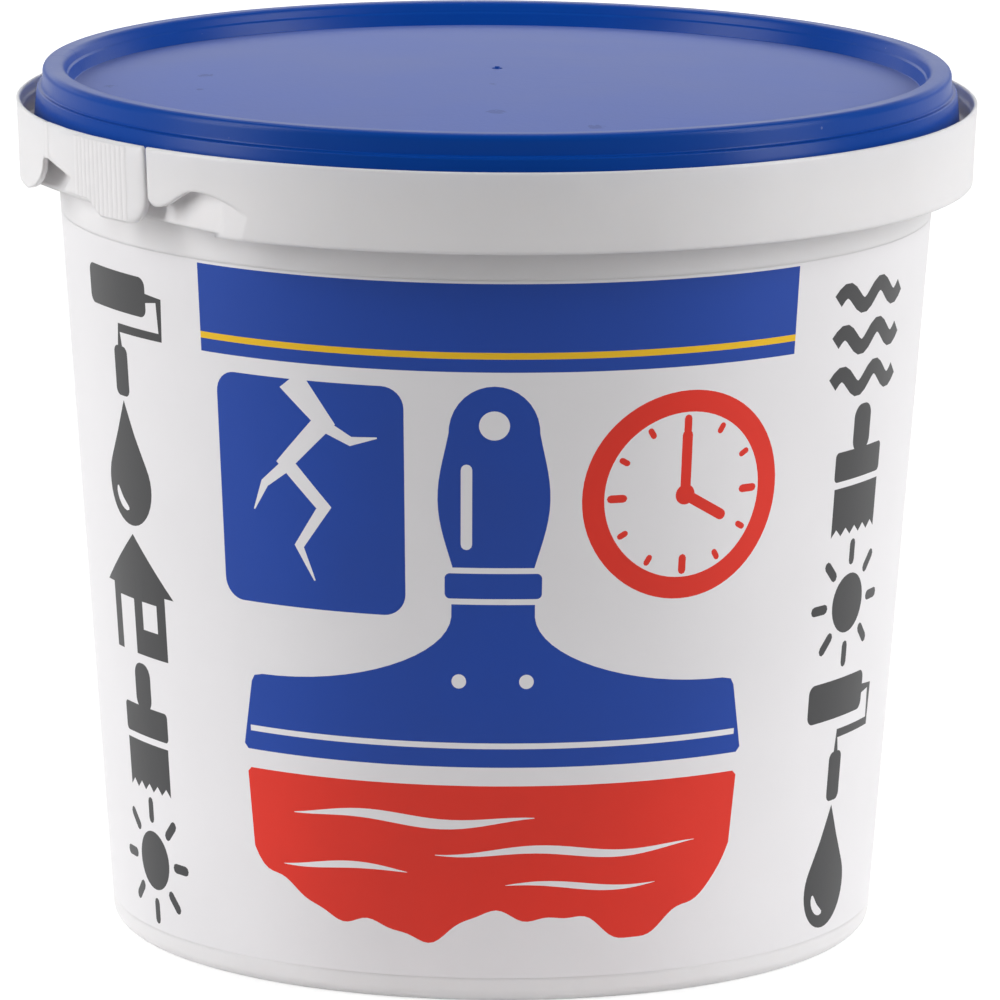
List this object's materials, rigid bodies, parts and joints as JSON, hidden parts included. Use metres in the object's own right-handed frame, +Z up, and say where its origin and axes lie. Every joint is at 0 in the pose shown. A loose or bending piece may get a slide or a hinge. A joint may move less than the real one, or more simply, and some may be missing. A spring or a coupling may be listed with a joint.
{
  "type": "wall filler tub",
  "caption": "Tapered round plastic tub of wall filler paste with a deep collar, a hinged tear tab, a recessed press-on lid and a wraparound label.",
  "frame": {"origin": "middle of the foot, on the surface that the tub stands on", "axes": "+Z up along the tub's axis, -Y the label's front, +X to the right as seen from the front"},
  "size_m": [0.133, 0.133, 0.1204],
  "materials": {
    "tub_plastic": "satin white moulded polypropylene",
    "tab_plastic": "satin white moulded polypropylene with grip ribs",
    "lid_plastic": "satin blue moulded polypropylene",
    "label_film": "printed film, white ground with a blue stripe and blue, red and dark grey shapes",
    "filler_paste": "matt smooth white paste"
  },
  "bodies": {
    "tub": {"tub": "tub_plastic", "label": "label_film", "filler": "filler_paste"},
    "lid": {"lid": "lid_plastic"},
    "tear_tab": {"tear_tab": "tab_plastic"}
  },
  "joints": [
    {"name": "lid_lift", "type": "slide", "parent": "tub", "child": "lid", "axis": [0, 0, 1], "range_m": [0, 0.06]},
    {"name": "tab_bend", "type": "hinge", "parent": "tub", "child": "tear_tab", "pos_m": [-0.06077, -0.02579, 0.11395], "axis": [0.0416, 0.0177, -0.999], "range_deg": [0, 95]}
  ]
}
